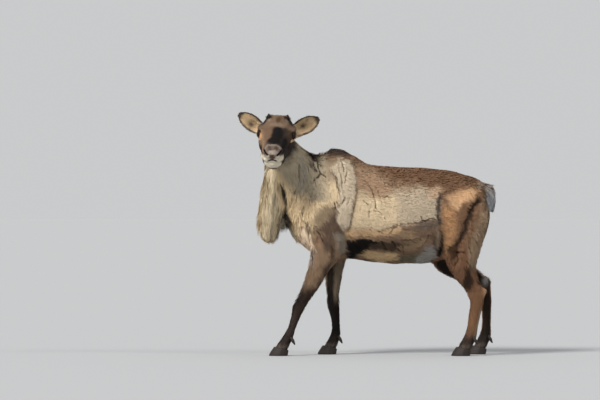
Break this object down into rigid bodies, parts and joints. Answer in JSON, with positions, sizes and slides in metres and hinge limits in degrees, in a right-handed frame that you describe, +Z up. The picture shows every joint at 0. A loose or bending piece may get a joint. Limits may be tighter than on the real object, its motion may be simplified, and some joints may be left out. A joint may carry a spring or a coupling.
{
  "type": "reindeer",
  "caption": "Standing life-size reindeer cow in winter coat with cast antlers, long throat mane and its head turned to the left.",
  "frame": {"origin": "middle of the model's box, at floor level under the soles of the hooves", "axes": "+Z up, the body faces -X with its left side towards -Y, and the head is turned to look towards -Y"},
  "size_m": [1.2222, 0.643, 1.1463],
  "materials": {
    "coat_face": "short dense dark hair with pale muzzle",
    "coat_neck": "long cream hair",
    "coat_mane": "long hanging cream locks",
    "coat_body": "thick brown and cream winter coat",
    "coat_tail": "white fluffy hair",
    "coat_ear": "short hair, pale inside with a dark rim",
    "coat_leg": "short brown hair",
    "coat_shank": "short stiff dark brown hair",
    "eye": "wet, dark brown",
    "pedicle": "skin and short hair over bone",
    "hoof": "satin dark horn"
  },
  "bodies": {
    "root": {"head": "coat_face", "neck": "coat_neck", "throat_mane": "coat_mane", "trunk": "coat_body", "tail": "coat_tail", "ear_left": "coat_ear", "ear_right": "coat_ear", "eye_left": "eye", "pedicle_left": "pedicle", "eye_right": "eye", "pedicle_right": "pedicle", "leg_fore_left_upper": "coat_leg", "leg_fore_left_cannon": "coat_shank", "leg_fore_left_foot": "coat_shank", "leg_fore_left_claw_near": "hoof", "leg_fore_left_dewclaw_near": "hoof", "leg_fore_left_claw_far": "hoof", "leg_fore_left_dewclaw_far": "hoof", "leg_fore_right_upper": "coat_leg", "leg_fore_right_cannon": "coat_shank", "leg_fore_right_foot": "coat_shank", "leg_fore_right_claw_near": "hoof", "leg_fore_right_dewclaw_near": "hoof", "leg_fore_right_claw_far": "hoof", "leg_fore_right_dewclaw_far": "hoof", "leg_hind_left_upper": "coat_leg", "leg_hind_left_cannon": "coat_shank", "leg_hind_left_foot": "coat_shank", "leg_hind_left_claw_near": "hoof", "leg_hind_left_dewclaw_near": "hoof", "leg_hind_left_claw_far": "hoof", "leg_hind_left_dewclaw_far": "hoof", "leg_hind_right_upper": "coat_leg", "leg_hind_right_cannon": "coat_shank", "leg_hind_right_foot": "coat_shank", "leg_hind_right_claw_near": "hoof", "leg_hind_right_dewclaw_near": "hoof", "leg_hind_right_claw_far": "hoof", "leg_hind_right_dewclaw_far": "hoof"}
  },
  "joints": []
}
